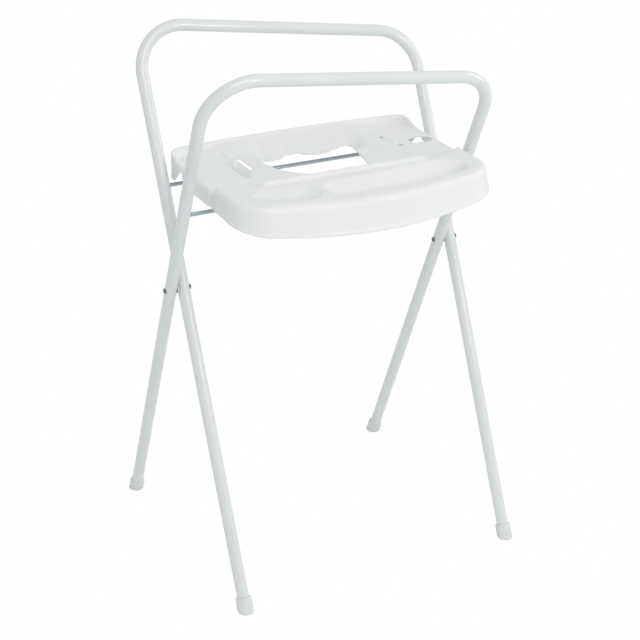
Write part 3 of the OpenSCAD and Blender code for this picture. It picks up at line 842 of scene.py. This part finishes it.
def skirt_side(x, y, z, rim, low):
    """Distance from the skirt's outer face, with its spread, the bead at its foot and the side notches."""
    rim_top = blur(shelf_height(x, y) + lip_profile(y), SOFTEN)
    facing = np.gradient(rim, CELL, axis=1)
    spread = SIDE_SPREAD * fall(*SPREAD_Y, y) + (FRONT_SPREAD - SIDE_SPREAD) * np.clip(-facing, 0, 1)
    down = np.clip((rim_top[..., None] - z) / (rim_top - low)[..., None], 0, SPREAD_LIMIT)
    side = rim[..., None] - spread[..., None] * down
    foot = z - low[..., None]
    side = side - BEAD_OUT * fall(*BEAD_Z, foot)
    notch_x = HALF_WIDTH + SIDE_SPREAD - NOTCH_DEEP * rise(0, NOTCH_FADE, foot)
    notch = cut(slab(y, *NOTCH_Y)[..., None], notch_x - np.abs(x)[..., None], 4.0)
    return cut(side, -notch, 2.0)


def tray_solid():
    """Distances of a 3-D grid to the tray's surface, with its axes."""
    axes = [np.arange(low, high + CELL, CELL, dtype=np.float32) for low, high in TRAY_BOX]
    x, y = np.meshgrid(axes[0], axes[1], indexing="ij")
    z = axes[2][None, None, :]
    rim = distance_to(rim_outline(), x, y).astype(np.float32)
    height = blur(tray_height(x, y, rim), SOFTEN)
    slope_x, slope_y = np.gradient(height, CELL)
    steep = np.sqrt(1 + np.minimum(slope_x**2 + slope_y**2, SLOPE_LIMIT)).astype(np.float32)
    up = (z - height[..., None]) / steep[..., None]
    low = skirt_foot(x, y)
    side = skirt_side(x, y, z, rim, low)
    edge = (EDGE_R - (EDGE_R - DECK_EDGE_R) * rise(*EDGE_Y, y))[..., None] * EDGE_FACTOR
    outer = cut(up, side, edge)
    inner = cut(up + WALL, side + WALL, edge - WALL)
    shell = cut(cut(outer, -inner, 0.6), low[..., None] - z, 1.0)
    shell = add_underside(shell, x, y, z, outer)
    return cut_openings(shell, x, y, z, height), axes


# ---- tray: the grid of distances as a mesh ------------------------------------------------------


def mean_crossings(field, cells, corners):
    """The mean of the points where the zero surface crosses each cell's edges, within the cell."""
    values = [field[tuple((cells + c).T)] for c in corners]
    total, hits = np.zeros((len(cells), 3)), np.zeros(len(cells))
    for (va, a), (vb, b) in itertools.combinations(zip(values, corners), 2):
        if np.abs(a - b).sum() == 1:
            crossed = (va < 0) != (vb < 0)
            t = np.where(crossed, va / np.where(crossed, va - vb, 1), 0)
            total += np.where(crossed[:, None], a + t[:, None] * (b - a), 0)
            hits += crossed
    return total / hits[:, None]


def net_quads(inside, number):
    """A quad round each grid edge that the surface crosses, from the numbers of the four cells there."""
    quads = []
    for axis in range(3):
        near = np.take(inside, range(inside.shape[axis] - 1), axis)
        far = np.take(inside, range(1, inside.shape[axis]), axis)
        lows = np.argwhere(near != far)
        u, v = (axis + 1) % 3, (axis + 2) % 3
        lows = lows[(lows[:, u] > 0) & (lows[:, v] > 0)]
        lows = lows[(lows[:, u] < number.shape[u]) & (lows[:, v] < number.shape[v])]
        step_u, step_v = np.eye(3, dtype=int)[[u, v]]
        ring = [number[tuple((lows - d).T)] for d in (0 * step_u, step_u, step_u + step_v, step_v)]
        quad = np.stack(ring, 1)
        outward = inside[tuple(lows.T)]
        quad[~outward] = quad[~outward][:, ::-1]
        quads.append(quad[(quad >= 0).all(1)])
    return np.vstack(quads)


def surface_nets(field, axes):
    """The zero surface of a grid of distances: points and quads."""
    inside = field < 0
    corners = np.array(list(itertools.product((0, 1), repeat=3)))
    count = sum(
        inside[i:i - 1 or None, j:j - 1 or None, k:k - 1 or None].astype(np.uint8) for i, j, k in corners
    )
    cells = np.argwhere((count > 0) & (count < len(corners)))
    number = np.full(count.shape, -1, np.int32)
    number[tuple(cells.T)] = np.arange(len(cells))
    start = np.array([a[0] for a in axes])
    points = start + (cells + mean_crossings(field, cells, corners)) * CELL
    return points, net_quads(inside, number)


# ---- tray: the piece ----------------------------------------------------------------------------

PAINTED_LIGHT_REACH, PAINTED_LIGHT_SLOPE = 1.0, 0.7  # how near the catch a face painted lighter lies, and how far it may lean
PAINTED_LIGHT_Z = (DECK_Z - CATCH_DEEP + 0.8, DECK_Z - 1)


def face_vectors(mesh, name):
    """A vector of each face, such as its centre, as rows."""
    vectors = np.empty(len(mesh.polygons) * 3, np.float32)
    mesh.polygons.foreach_get(name, vectors)
    return vectors.reshape(-1, 3)


def make_tray():
    """The moulding; the thin upright walls in the catch let more light through than the rest, and are painted
    paler than the rest to lift their shade.
    """
    points, quads = surface_nets(*tray_solid())
    tray = piece_from("bath_tray_moulding", to_row(points), quads, "tray", "bath_tray", PLASTIC)
    tray.data.materials.append(THIN_PAINTED_LIGHT)
    x, y, z = (face_vectors(tray.data, "center") / MM - (0.0, PIVOT_Y, 0.0)).T
    upright = np.abs(face_vectors(tray.data, "normal")[:, 2]) < PAINTED_LIGHT_SLOPE
    # painted light: the catch's thin upright walls take the paler material, which lifts their shade
    thin_painted_light = upright & (distance_to(CATCH, -x, y) < PAINTED_LIGHT_REACH) & (slab(z, *PAINTED_LIGHT_Z) < 0)
    tray.data.polygons.foreach_set("material_index", thin_painted_light.astype(np.int32))


make_tray()

bpy.context.scene.view_settings.view_transform = "Standard"
